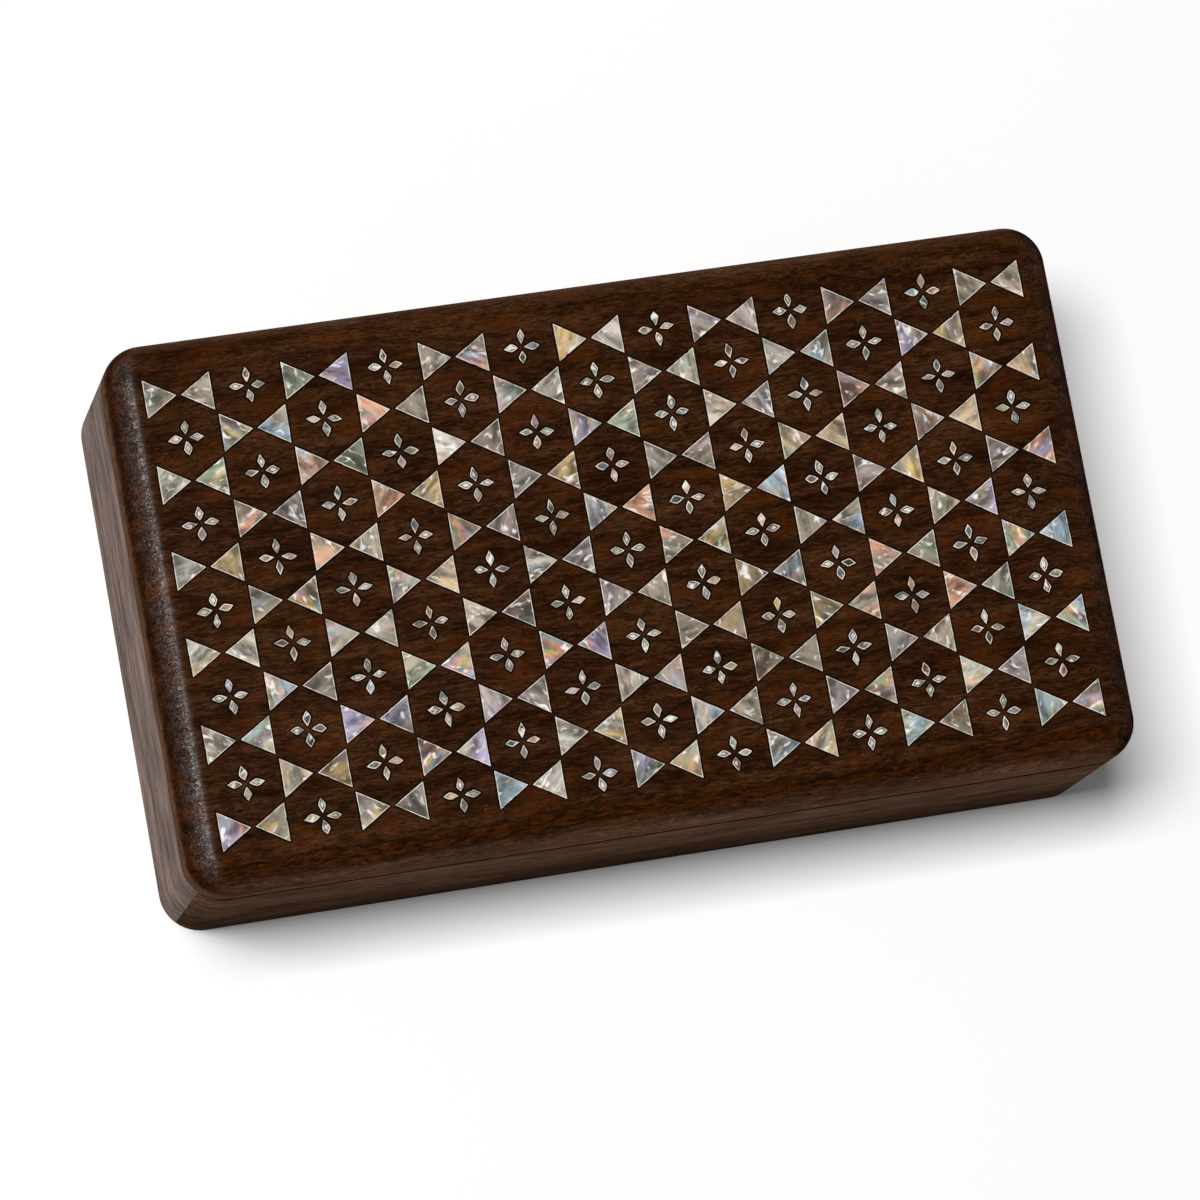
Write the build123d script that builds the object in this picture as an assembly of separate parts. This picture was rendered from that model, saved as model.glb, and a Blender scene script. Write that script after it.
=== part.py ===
from build123d import *
import os
from math import radians, tan

# Hinged jewellery box of dark wood, its lid inlaid with mother-of-pearl.
# Frame: millimetres, +Z up, +X to the right along the length, front at -Y.
# Origin: centre of the underside, on the surface that the box stands on.

# ---- overall form ----
LENGTH = 250.0          # left to right
WIDTH = 143.0           # front to back
BASE_HEIGHT = 52.0      # underside to the seam
LID_ROUND = 8.5         # round-over all along the lid's top edge
LID_BAND = 3.5          # upright edge of the lid, under the round-over
TOP_CORNER = 2.0        # corner radius that is left on the flat top
ARRIS = 0.5             # small bevel that eases the two outer edges at the seam

# ---- base ----
WALL = 10.0             # thickness of the four mitred boards
PANEL_THICKNESS = 4.0   # bottom panel, let in flush with the underside
REBATE = 4.5            # how far the bottom panel runs into the walls
PANEL_FIT = 0.15        # gap round the bottom panel, for the glue

# ---- velvet-covered lining cards ----
FLOOR_LINING = 2.0
SIDE_LINING = 1.5
LINING_DROP = 2.0       # side linings stop this far below the walls' top
LINING_FIT = 0.3        # gap at the linings' edges
LID_LINING = 1.8
LID_RECESS = 2.0        # depth of the recess that takes the lid's lining
LID_RECESS_MARGIN = 2.0 # recess edge, in from the walls' inner faces

# ---- inlay: columns of bow-ties, with a four-petalled flower between each two ----
COLUMNS = 13
ROWS = 6
END_MARGIN = 0.5        # pattern to round-over, at the lid's two ends
SIDE_MARGIN = 1.4       # pattern to round-over, at front and back
SHELL_THICKNESS = 1.0
POCKET_INSET = 0.12     # wood left at the points where triangles meet, measured on one side
MASTIC_GAP = 0.2        # dark mastic between a shell piece and the wall of its pocket
PETAL_START = 0.85      # flower's centre to a petal's inner tip
PETAL_LENGTH = 3.9
PETAL_WIDTH = 2.1
PETAL_BELLY = 0.56      # share of its length at which a petal is widest

# ---- two brass butt hinges, mortised in, with their barrels in the bevelled back seam;
#      the small screws that hold them are left out ----
HINGE_INSET = 45.0      # end of the box to the middle of a hinge
LEAF_LENGTH = 25.0
LEAF_THICKNESS = 0.9
LEAF_MARGIN = 1.0       # wood left between a leaf and the wall's inner face
LEAF_FIT = 0.1          # gap round a leaf in its mortise
PIN_RADIUS = 0.8
PIN_CLEARANCE = 0.06    # running fit of the pin in the knuckles
KNUCKLE_RADIUS = 1.7
KNUCKLE_GAP = 0.2       # between neighbouring knuckles, and round each against the other leaf
BARREL_SET_IN = 0.1     # back of the barrels, in from the back face
BARREL_CLEARANCE = 0.25 # wood round the barrel
KNUCKLES = 3
BEVEL_ANGLE = 51.5      # each back edge is bevelled by this much, so that the bevels stop the lid

# ---- sizes that follow ----
corner_radius = LID_ROUND + TOP_CORNER
lid_thickness = LID_BAND + LID_ROUND
height = BASE_HEIGHT + lid_thickness
inner_length = LENGTH - 2 * WALL
inner_width = WIDTH - 2 * WALL
column_pitch = (LENGTH - 2 * (LID_ROUND + END_MARGIN)) / COLUMNS
row_pitch = (WIDTH - 2 * (LID_ROUND + SIDE_MARGIN)) / (ROWS - 0.5)
pin_inset = KNUCKLE_RADIUS + BARREL_SET_IN
pin_y = WIDTH / 2 - pin_inset
leaf_reach = WALL - pin_inset - LEAF_MARGIN
leaf_root = KNUCKLE_RADIUS + KNUCKLE_GAP
hinge_places = (-(LENGTH / 2 - HINGE_INSET), LENGTH / 2 - HINGE_INSET)

BELOW = -1              # side of the seam: in the base
ABOVE = 1               # side of the seam: in the lid


def slab(length, width, thickness, z):
    """Rectangular card or panel centred on the box, its underside at z."""
    return Pos(0, 0, z + thickness / 2) * Box(length, width, thickness)


def rod(radius, length):
    """Round bar along X, centred on the origin."""
    return Rot(0, 90, 0) * Cylinder(radius, length)


def outer_block(thickness):
    """Block with the box's rounded plan, standing on z = 0."""
    return extrude(RectangleRounded(LENGTH, WIDTH, corner_radius), thickness)


def edges_at(block, end):
    """The edges round a block's underside (end 0) or top (end -1)."""
    return block.faces().sort_by(Axis.Z)[end].edges()


def back_bevel(side):
    """Wedge cut from the back edge at the seam: it opens outwards from the hinge axis."""
    reach = pin_inset + WALL
    rise = side * reach * tan(radians(BEVEL_ANGLE))
    section = Plane(origin=(-LENGTH, pin_y, BASE_HEIGHT), x_dir=(0, 1, 0), z_dir=(1, 0, 0))
    wedge = section * Polygon((0, 0), (reach, 0), (reach, rise), align=None)
    return extrude(wedge, 2 * LENGTH, dir=(1, 0, 0))


# ---- hinges ----

def at_hinges(piece):
    """The same piece at both hinges, from its place about the hinge axis."""
    return [Pos(x, pin_y, BASE_HEIGHT) * piece for x in hinge_places]


def hinge_leaf(side, knuckles):
    """One leaf about the hinge axis: a plate towards the front, and its share of the knuckles."""
    pitch = LEAF_LENGTH / KNUCKLES
    middle = side * LEAF_THICKNESS / 2
    plate = Box(LEAF_LENGTH, leaf_reach - leaf_root, LEAF_THICKNESS)
    leaf = Pos(0, -(leaf_root + leaf_reach) / 2, middle) * plate
    for place in knuckles:
        x = (place - (KNUCKLES - 1) / 2) * pitch
        neck = Box(pitch - KNUCKLE_GAP, leaf_root, LEAF_THICKNESS)
        leaf += Pos(x, 0, 0) * rod(KNUCKLE_RADIUS, pitch - KNUCKLE_GAP)
        leaf += Pos(x, -leaf_root / 2, middle) * neck
    return leaf - rod(PIN_RADIUS + PIN_CLEARANCE, 2 * LEAF_LENGTH)


def hinge_mortises(side):
    """What is cut from the wood on one side of the seam for both hinges: leaf and barrel."""
    leaf = Box(LEAF_LENGTH + 2 * LEAF_FIT, leaf_reach + LEAF_FIT, LEAF_THICKNESS)
    barrel = rod(KNUCKLE_RADIUS + BARREL_CLEARANCE, LEAF_LENGTH + 2 * BARREL_CLEARANCE)
    leaf = Pos(0, -(leaf_reach + LEAF_FIT) / 2, side * LEAF_THICKNESS / 2) * leaf
    return at_hinges(leaf) + at_hinges(barrel)


# ---- base ----

def wall(span, offset, turn):
    """Board along one side: full length outside, mitred at 45 degrees to its shorter inside."""
    outside = span / 2
    inside = outside - WALL
    plan = Polygon((-outside, 0), (outside, 0), (inside, WALL), (-inside, WALL), align=None)
    board = extrude(Rot(0, 0, turn) * Pos(0, -offset, 0) * plan, BASE_HEIGHT)
    block = outer_block(BASE_HEIGHT)
    block = chamfer(edges_at(block, -1), ARRIS)
    rebate = slab(inner_length + 2 * REBATE, inner_width + 2 * REBATE, PANEL_THICKNESS, 0)
    return (board & block) - rebate - back_bevel(BELOW)


def bottom_panel():
    """Thin board let into the walls' rebate, flush with the underside."""
    reach = 2 * (REBATE - PANEL_FIT)
    return slab(inner_length + reach, inner_width + reach, PANEL_THICKNESS, 0)


def floor_lining():
    """Velvet-covered card on the bottom panel."""
    return slab(inner_length - 2 * LINING_FIT, inner_width - 2 * LINING_FIT, FLOOR_LINING, PANEL_THICKNESS)


def side_lining(length, offset, turn):
    """Velvet-covered card that stands against one wall's inner face."""
    foot = PANEL_THICKNESS + FLOOR_LINING + LINING_FIT
    rise = BASE_HEIGHT - LINING_DROP - foot
    card = Pos(0, SIDE_LINING / 2 - offset, foot + rise / 2) * Box(length, SIDE_LINING, rise)
    return Rot(0, 0, turn) * card


# ---- inlay ----

def column_x(column):
    return (column - (COLUMNS - 1) / 2) * column_pitch


def row_places(shifted):
    """Centres along a column: one for each row, or those between the rows when shifted."""
    count = ROWS - shifted
    return [(n - (count - 1) / 2) * row_pitch for n in range(count)]


def triangle(direction, inset):
    """Half of a bow-tie: its tip at the bow-tie's centre, its upright side away from it."""
    side = direction * column_pitch / 2
    cell = Polygon((0, 0), (side, row_pitch / 4), (side, -row_pitch / 4), align=None)
    return offset(cell, -inset, kind=Kind.INTERSECTION)


def petal(turn, growth):
    """One petal of a flower about its centre, as the saw cuts it: pointed at both ends."""
    belly = PETAL_START + PETAL_BELLY * PETAL_LENGTH
    tip = PETAL_START + PETAL_LENGTH
    half = PETAL_WIDTH / 2
    kite = Polygon((PETAL_START, 0), (belly, half), (tip, 0), (belly, -half), align=None)
    if growth:
        kite = offset(kite, growth, kind=Kind.INTERSECTION)
    return Rot(0, 0, turn) * kite


def sunk(shapes, centres_x, centres_y):
    """Flat shapes about a centre made into pieces sunk in the lid's top, at every centre."""
    pieces = [extrude(shape, SHELL_THICKNESS, dir=(0, 0, -1)) for shape in shapes]
    return [Pos(centres_x, y, height) * piece for y in centres_y for piece in pieces]


def column_triangles(column, inset):
    """All triangles of one column of bow-ties."""
    return sunk([triangle(-1, inset), triangle(1, inset)], column_x(column), row_places(column % 2))


def column_petals(column, growth):
    """All petals of one column of flowers, which stand between the bow-ties."""
    petals = [petal(turn, growth) for turn in (0, 90, 180, 270)]
    return sunk(petals, column_x(column), row_places(1 - column % 2))


# ---- lid ----

def lid_board():
    """Solid lid: rounded over above, recessed below for its lining, pocketed for the inlay."""
    board = outer_block(lid_thickness)
    board = chamfer(edges_at(board, 0), ARRIS)
    board = fillet(edges_at(board, -1), LID_ROUND)
    board = Pos(0, 0, BASE_HEIGHT) * board
    margin = 2 * LID_RECESS_MARGIN
    recess = slab(inner_length - margin, inner_width - margin, LID_RECESS, BASE_HEIGHT)
    pockets = []
    for column in range(COLUMNS):
        pockets += column_triangles(column, POCKET_INSET)
        pockets += column_petals(column, MASTIC_GAP)
    return board - recess - back_bevel(ABOVE) - hinge_mortises(ABOVE) - pockets


def lid_lining():
    """Velvet-covered card glued into the lid's recess."""
    margin = 2 * (LID_RECESS_MARGIN + LINING_FIT)
    top = BASE_HEIGHT + LID_RECESS
    return slab(inner_length - margin, inner_width - margin, LID_LINING, top - LID_LINING)


# ---- all nodes ----

def write(node, pieces):
    """One STEP file for a node, which holds one solid or several alike."""
    pieces = pieces if isinstance(pieces, list) else [pieces]
    solids = [solid for piece in pieces for solid in piece.solids()]
    export_step(solids[0] if len(solids) == 1 else Compound(children=solids), f"parts/{node}.step")


os.makedirs("parts", exist_ok=True)

write("front_wall", wall(LENGTH, WIDTH / 2, 0))
write("right_wall", wall(WIDTH, LENGTH / 2, 90))
write("back_wall", wall(LENGTH, WIDTH / 2, 180) - hinge_mortises(BELOW))
write("left_wall", wall(WIDTH, LENGTH / 2, 270))
write("bottom_panel", bottom_panel())

long_card = inner_length - 2 * LINING_FIT
short_card = inner_width - 2 * (SIDE_LINING + LINING_FIT)
write("floor_lining", floor_lining())
write("front_lining", side_lining(long_card, inner_width / 2, 0))
write("right_lining", side_lining(short_card, inner_length / 2, 90))
write("back_lining", side_lining(long_card, inner_width / 2, 180))
write("left_lining", side_lining(short_card, inner_length / 2, 270))

write("lid_board", lid_board())
write("lid_lining", lid_lining())
for column in range(COLUMNS):
    write(f"shell_triangles_{column + 1:02d}", column_triangles(column, POCKET_INSET + MASTIC_GAP))
    write(f"shell_petals_{column + 1:02d}", column_petals(column, 0))

write("hinge_base_leaves", at_hinges(hinge_leaf(BELOW, range(0, KNUCKLES, 2))))
write("hinge_lid_leaves", at_hinges(hinge_leaf(ABOVE, range(1, KNUCKLES, 2))))
write("hinge_pins", at_hinges(rod(PIN_RADIUS, LEAF_LENGTH)))
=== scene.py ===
from math import atan2, cos, pi, radians, sin, sqrt, tan
from random import Random

import bmesh
import bpy
from mathutils import Matrix, Quaternion, Vector, noise


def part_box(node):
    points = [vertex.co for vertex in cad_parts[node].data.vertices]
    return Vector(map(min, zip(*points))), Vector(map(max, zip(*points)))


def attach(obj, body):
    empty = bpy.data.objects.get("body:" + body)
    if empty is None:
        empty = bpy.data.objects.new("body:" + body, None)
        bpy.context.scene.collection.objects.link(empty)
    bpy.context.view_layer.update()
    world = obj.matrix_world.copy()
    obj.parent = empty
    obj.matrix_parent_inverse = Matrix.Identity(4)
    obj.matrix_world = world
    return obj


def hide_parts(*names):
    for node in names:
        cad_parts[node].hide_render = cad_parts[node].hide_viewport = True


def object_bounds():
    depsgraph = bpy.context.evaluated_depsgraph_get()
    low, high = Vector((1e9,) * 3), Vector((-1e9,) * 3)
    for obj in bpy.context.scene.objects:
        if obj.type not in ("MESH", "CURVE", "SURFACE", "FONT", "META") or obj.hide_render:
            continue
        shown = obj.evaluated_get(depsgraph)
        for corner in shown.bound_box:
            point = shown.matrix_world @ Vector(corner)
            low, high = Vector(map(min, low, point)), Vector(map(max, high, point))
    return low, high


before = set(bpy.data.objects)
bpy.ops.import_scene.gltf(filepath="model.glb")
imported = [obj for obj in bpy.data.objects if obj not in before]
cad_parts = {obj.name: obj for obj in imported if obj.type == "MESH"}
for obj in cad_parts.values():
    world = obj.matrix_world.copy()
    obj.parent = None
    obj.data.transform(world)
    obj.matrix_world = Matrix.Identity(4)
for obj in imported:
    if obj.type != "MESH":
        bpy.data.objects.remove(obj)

# Looks of a dark wooden jewellery box, its lid inlaid with mother-of-pearl.
# Everything is in metres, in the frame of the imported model: +Z up, the front at -Y.

MM = 0.001
cad_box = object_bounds()
pin_low, pin_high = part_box("hinge_pins")
axis_y, axis_z = (pin_low.y + pin_high.y) / 2, (pin_low.z + pin_high.z) / 2

# ---- meshes ----
MERGE = 0.001 * MM             # vertices closer than this are one
NEAR = 0.01 * MM               # vertices this close below a solid's top belong to it
CREASE = 30.0                  # degrees past which an edge stays sharp
FINE_CREASE = 25.0             # the same for the lid board and its shell
CLOTH_CREASE = 80.0
LEVEL = 0.9999                 # upward part of a level face's normal
NEARLY_LEVEL = 0.999           # the same for one that leans by up to 2.5 degrees
BEYOND = 10.0 * MM             # how far a cutter runs past what it cuts
CLEAR = 1.0 * MM               # how far one starts outside the face it cuts

# ---- the lid board, which is made again with hand-cut pockets ----
LID_ROUND = 8.5 * MM           # round-over along its top edge
TOP_CORNER = 2.0 * MM          # corner radius left on the flat top
SEAM_ARRIS = 0.5 * MM          # bevel at the seam
ROUND_STEPS = 20               # facets across the round-over
CORNER_STEPS = 20              # facets round a corner
TOP_CELL = 12.0 * MM           # the flat top is divided into cells of this size before it is cut
RECESS_FIT = 0.3 * MM          # gap round the lid's lining in its recess
BEVEL_ANGLE = 51.5             # of the back edge, opening from the hinge axis

# ---- inlay ----
RIM = 0.3 * MM                 # pale edge of a shell piece, a painted highlight along its bevel
SHELL_BEVEL = 0.05 * MM
MASTIC_WIDTH = 0.44 * MM       # dark mastic round a shell piece
MASTIC_DEPTH = 0.05 * MM       # mastic's surface below the wood
HEART = 0.4                    # size of a petal's paler heart, as a share of the petal
HEART_EDGE = 1.3               # where the heart has faded out, as a share of its size

# ---- hand cutting: pairs are ranges to draw from, and lengths are in millimetres ----
CUTTING_SEED = 11
SIDE_STEPS = 14                # stretches of a triangle's side
SAW_WOBBLE = 0.022
SAW_TURNS = (1, 2.3, 5.1)      # waves of the wobble along a side
FADE = 8                       # the wobble fades out over one part in this many at a side's ends
SIDE_CHIPS = 0.22              # chance of a chip in a side
CHIP_PLACE = (0.12, 0.88)      # as a share of the side
CHIP_DEPTH = (0.10, 0.24)
CHIP_WIDTH = (0.3, 0.55)
CORNER_SHIFT = 0.08            # most that a triangle's corner is off
CORNER_BLUNTING = (0.02, 0.09)
POCKET_CORNER = 1.02           # furthest reach of a pocket's corner, in widths of mastic
MASTIC_SHARE = (0.85, 1.1)     # of MASTIC_WIDTH
PETAL_STEPS = 9                # stretches of a petal's side
PETAL_TILT = 4.0               # typical tilt, in degrees
PETAL_LENGTH = (0.92, 1.05)    # shares of the CAD petal's length and width
PETAL_WIDTH = (0.86, 1.1)
PETAL_SHIFT = 0.05             # typical shift off its place
PETAL_WIDEST = (0.42, 0.62)    # where along its length a petal is widest
PETAL_SKEW = 0.07              # how far that place is off on either side
PETAL_ROUNDNESS = (0.0, 0.75)  # 0 for straight sides, 1 for fully rounded ones
PETAL_BEND = 0.08              # typical bend to one side
PETAL_WOBBLE = (-0.02, 0.04)
PETAL_CHIPS = 0.3              # chance of a chip in a petal
PETAL_CHIP_DEPTH = (0.08, 0.2)
PETAL_RADIUS = 0.88            # of a petal's inscribed circle, as a share of its half width

# ---- the shell's looks, drawn for each piece ----
TRIANGLE_LIGHT = (0.5, 1.22)   # how much a tint is dimmed or lit
PETAL_LIGHT = (0.25, 0.85)
FIRES = (0.0, 0.1, 0.2, 0.4, 0.7)       # strengths of the coloured fire
HEARTS = (0.0, 0.0, 0.35, 0.5, 0.7)     # palenesses of a petal's heart
SHEET = 400                    # side of the sheet of figure that pieces are taken from, in millimetres
SHEETS = 90                    # height of the stack of such sheets

# ---- hinges ----
LEAF_THICKNESS = 0.9 * MM
LEAF_FIT = 0.1 * MM            # gap round a leaf in its mortise
BARREL_CLEARANCE = 0.25 * MM   # wood round the barrel
BARREL_STEPS = 40
HINGE_GAP = 60.0 * MM          # anything wider between two stretches of pin parts two hinges
SCREW_HEAD = 1.45 * MM         # radius of a countersunk head
HEAD_ARRIS = 0.12 * MM         # bevelled rim of its face
HEAD_SUNK = 0.02 * MM          # its face below the leaf
HEAD_EDGE = 0.1 * MM           # depth of its widest place
HEAD_DEPTH = 0.85 * MM         # depth where its cone meets the shank
SCREW_SHANK = 0.75 * MM
SCREW_LENGTH = 6.0 * MM
SCREW_TAPER = (0.8, 0.7)       # the shank's share left at this share of the length
SCREW_POINT = 0.05 * MM
SCREW_SPREAD = 7.5 * MM        # a screw, to the side of its hinge's middle
SCREW_FIT = 0.05 * MM          # gap round a head in its countersink
SCREW_STEPS = 32
HOLE_DEPTH = 2.0 * MM          # past the far side of a leaf
SLOT_WIDTH = 0.4 * MM
SLOT_DEPTH = 0.3 * MM
DRILLING_SEEDS = {"base": 5, "lid": 6}

# ---- velvet-covered lining cards ----
CARD_CELL = 2.5 * MM           # facets of the cloth
CARD_EDGE = (20, 42, 62, 78, 90)    # angles of the facets round a card's edge
CARD_SAG = 0.3 * MM            # how far the cloth dips between its high places
CARD_PULL = 0.25 * MM          # how far a side pulls in at its middle
SAG_WAVES = (0.05, 0.16)       # broad and small waves of the sag, in turns for each millimetre
SAG_SHARES = (0.5, 0.35, 0.15)      # of the even part, the broad waves and the small ones
SMALL_WAVE_SEED = 20.0         # added to a card's own seed

# ---- studio, in metres, watts and degrees; lens and sensor in millimetres ----
FLOOR_REACH = 6.0
FLOOR_CELLS = 12
FLOOR_LIFT = 0.06
SKY = 0.09
SOFTBOX_HEIGHT = 6.0
SOFTBOX_LEAN = (0.35, 0.12)    # to the left and to the back, for each metre of height
SOFTBOX_SIZE = (3.1, 1.8)
SOFTBOX_POWER = 455.0
CAMERA_AIM = (-0.00233, -0.00599, 0.03)
CAMERA_DISTANCE = 1.6322
CAMERA_AZIMUTH = -50.817
CAMERA_ELEVATION = 74.740
CAMERA_ROLL = 41.409
CAMERA_LENS = 188.42
CAMERA_SENSOR = 36.0
CAMERA_REACH = 20.0            # nothing past this is drawn


# ------------------------------------------------------------------ materials

def srgb(red, green, blue):
    """A colour written as it looks on a screen, 0 to 255, as the linear colour that shaders take."""
    linear = [((c / 255 + 0.055) / 1.055) ** 2.4 if c > 10 else c / 3294.6 for c in (red, green, blue)]
    return (*linear, 1.0)


class Graph:
    """The node tree of a material or a world, built a call for each node."""

    def __init__(self, owner, output):
        owner.use_nodes = True
        self.owner = owner
        self.tree = owner.node_tree
        self.tree.nodes.clear()
        self.output = self.node(output)

    def feed(self, socket, value):
        """Links a socket to another one, or sets it to a constant."""
        if isinstance(value, bpy.types.NodeSocket):
            self.tree.links.new(value, socket)
        else:
            socket.default_value = value

    def node(self, kind, inputs=(), **settings):
        """A node of this kind with these settings, its inputs linked or set."""
        made = self.tree.nodes.new("ShaderNode" + kind)
        for key, value in settings.items():
            setattr(made, key, value)
        for key, value in dict(inputs).items():
            self.feed(made.inputs[key], value)
        return made

    def place(self):
        """Object coordinates in millimetres."""
        return self.scaled(self.node("TexCoord").outputs["Object"], (1 / MM, 1 / MM, 1 / MM))

    def attribute(self, name, output="Vector"):
        return self.node("Attribute", attribute_name=name).outputs[output]

    def scaled(self, vector, scale):
        return self.node("VectorMath", {0: vector, 1: scale}, operation="MULTIPLY").outputs[0]

    def added(self, vector, other):
        return self.node("VectorMath", {0: vector, 1: other}, operation="ADD").outputs[0]

    def parts(self, vector):
        return self.node("SeparateXYZ", {0: vector}).outputs

    def vector(self, x, y, z):
        return self.node("CombineXYZ", {0: x, 1: y, 2: z}).outputs[0]

    def swapped(self, vector):
        """A vector with its X and Y exchanged."""
        x, y, z = self.parts(vector)
        return self.vector(y, x, z)

    def math(self, operation, a, b=0.0):
        return self.node("Math", {0: a, 1: b}, operation=operation).outputs[0]

    def plus(self, a, b):
        return self.math("ADD", a, b)

    def less(self, a, b):
        return self.math("SUBTRACT", a, b)

    def times(self, a, b):
        return self.math("MULTIPLY", a, b)

    def apart(self, a, b):
        """How far two values are apart."""
        return self.math("ABSOLUTE", self.less(a, b))

    def noise(self, vector, detail=2.0, roughness=0.5, distortion=0.0):
        inputs = {"Vector": vector, "Scale": 1.0, "Detail": detail, "Roughness": roughness,
                  "Distortion": distortion}
        return self.node("TexNoise", inputs).outputs[0]

    def stepped(self, value, low, high, bottom=0.0, top=1.0):
        """Smoothly from bottom to top as value goes from low to high."""
        inputs = {"Value": value, "From Min": low, "From Max": high, "To Min": bottom, "To Max": top}
        return self.node("MapRange", inputs, interpolation_type="SMOOTHSTEP").outputs[0]

    def between(self, value, bottom, top):
        """Evenly from bottom to top as value goes from 0 to 1."""
        return self.node("MapRange", {"Value": value, "To Min": bottom, "To Max": top}).outputs[0]

    def ramp(self, value, stops):
        """Colour along a ramp, from (place, colour) stops."""
        made = self.node("ValToRGB", {0: value})
        elements = made.color_ramp.elements
        elements[0].position, elements[0].color = stops[0]
        elements[1].position, elements[1].color = stops[-1]
        for position, colour in stops[1:-1]:
            elements.new(position).color = colour
        return made.outputs[0]

    def mix(self, factor, a, b, blend="MIX"):
        """Colour a, turned towards b by the factor."""
        made = self.node("Mix", data_type="RGBA", blend_type=blend)
        sockets = {s.name: s for s in made.inputs if s.type in ("RGBA", "VALUE") and s.enabled}
        for key, value in {"Factor": factor, "A": a, "B": b}.items():
            self.feed(sockets[key], value)
        return next(s for s in made.outputs if s.enabled)

    def bump(self, height, strength, depth):
        return self.node("Bump", {"Height": height, "Strength": strength, "Distance": depth}).outputs[0]

    def white_rays(self):
        """1 where the camera looks, directly, in gloss or through a clear surface, and 0 elsewhere."""
        path = self.node("LightPath").outputs
        seen = self.math("MAXIMUM", path["Is Camera Ray"], path["Is Glossy Ray"])
        return self.math("MAXIMUM", seen, path["Is Transmission Ray"])

    def ended(self, shader):
        """Ends the tree with a shader and gives the material or the world."""
        self.tree.links.new(shader, self.output.inputs["Surface"])
        return self.owner

    def principled(self, **inputs):
        """Ends the tree with one Principled shader; an input's spaces are written as underscores."""
        named = {key.replace("_", " "): value for key, value in inputs.items()}
        return self.ended(self.node("BsdfPrincipled", named).outputs[0])


def material_graph(name):
    return Graph(bpy.data.materials.new(name), "OutputMaterial")


# Scales of noise are in turns for each millimetre; for wood, first along its grain and then across.

def board_place(g, along_y, seed):
    """Place and size of the normal's parts in a board's own directions, with X along its grain.

    Another seed takes the board from another piece of wood.
    """
    place = g.place()
    normal = g.node("TexCoord").outputs["Normal"]
    if along_y:
        place = g.swapped(place)
        normal = g.swapped(normal)
    place = g.added(place, (seed, seed * 0.37, 0.0))
    return place, g.node("VectorMath", {0: normal}, operation="ABSOLUTE").outputs[0]


def long_grain(g, place, figure):
    """Fibres, bands and pores that sway along the board, and the swaying place across it."""
    sway = g.noise(g.scaled(place, (0.018, 0.05, 0.05)), 2.0)
    ripple = g.noise(g.scaled(place, (0.24, 0.5, 0.5)), 2.0)
    shift = g.plus(g.times(sway, 9.0), g.times(ripple, 2.4))
    grain = g.added(place, g.vector(0.0, shift, g.times(shift, 0.6)))
    fine = (0.28 * figure ** 2, 1.9 * figure, 1.9 * figure)
    broad = (0.03, 0.35 * figure, 0.35 * figure)
    short = (0.45 * figure ** 2, 3.4 * figure, 3.4 * figure)
    fibres = g.noise(g.scaled(grain, fine), 3.0, 0.6)
    bands = g.noise(g.scaled(grain, broad), 2.0, 0.6)
    pores = g.stepped(g.noise(g.scaled(grain, short), 1.0), 0.57, 0.66)
    return fibres, bands, pores, g.parts(grain)[1]


def end_figure(g, place, end_grain):
    """Pebbles, and the fine curled cracks of end grain."""
    pebbles = g.noise(g.scaled(place, (0.9, 0.9, 0.9)), 1.0, 0.5, 0.8)
    curls = g.apart(g.noise(g.scaled(place, (0.8, 0.8, 0.8)), 1.0, 0.5, 2.0), 0.5)
    return pebbles, g.times(g.stepped(curls, 0.02, 0.065, 1.0, 0.0), end_grain)


def upright_share(g, facing_up, end_grain):
    """1 on upright faces and 0 on level ones, fading sooner on faces that look along the board."""
    long_side = g.stepped(facing_up, 0.1, 0.95, 1.0, 0.0)
    short_side = g.stepped(facing_up, 0.1, 0.45, 1.0, 0.0)
    return g.between(end_grain, long_side, short_side)


def warmed(g, colour, place, end_grain):
    """Adds warm brown patches, stronger on end grain."""
    warm = g.noise(g.scaled(g.added(place, (40.0, 9.0, 0.0)), (0.06, 0.16, 0.16)), 2.0)
    warm = g.times(g.stepped(warm, 0.5, 0.68), g.stepped(end_grain, 0.0, 1.0, 0.4, 0.75))
    return g.mix(warm, colour, srgb(78, 38, 8))


def streaked(g, colour, streak, across, fibres, patches):
    """Adds one streak along the grain, with a black line here and there on both its sides."""
    middle, half_width, shade = streak
    off = g.apart(across, middle)
    near = g.stepped(off, half_width * 0.5, half_width, 0.9, 0.0)
    colour = g.mix(near, colour, g.mix(g.stepped(fibres, 0.35, 0.65), srgb(20, 9, 3), shade))
    beside = g.stepped(g.apart(off, half_width * 1.1), 0.1, 0.6, 0.8, 0.0)
    return g.mix(g.times(beside, g.stepped(patches, 0.4, 0.6)), colour, srgb(16, 7, 2))


def painted_seam_and_bottom_shade(g, colour, seam, foot_shade, height_up, facing_up, end_grain):
    """Paints shade in the seam on the front and back, shade low down and light near the seam."""
    # Painted shade in the seam: a near-black band on the front and back faces, within about a millimetre
    # of the seam's height.
    long_side = g.times(g.stepped(facing_up, 0.75, 0.95, 1.0, 0.0), g.less(1.0, end_grain))
    shadow = g.times(g.stepped(g.apart(height_up, seam), 0.8, 1.3, 0.95, 0.0), long_side)
    colour = g.mix(shadow, colour, srgb(10, 5, 3))
    # Painted shade low down and painted light near the seam: the colour is scaled from foot_shade at z =
    # 0 to 2 - foot_shade at the seam.
    fade = g.stepped(height_up, 0.0, seam, foot_shade, 2.0 - foot_shade)
    return g.mix(1.0, colour, g.vector(fade, fade, fade), "MULTIPLY")


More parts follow.
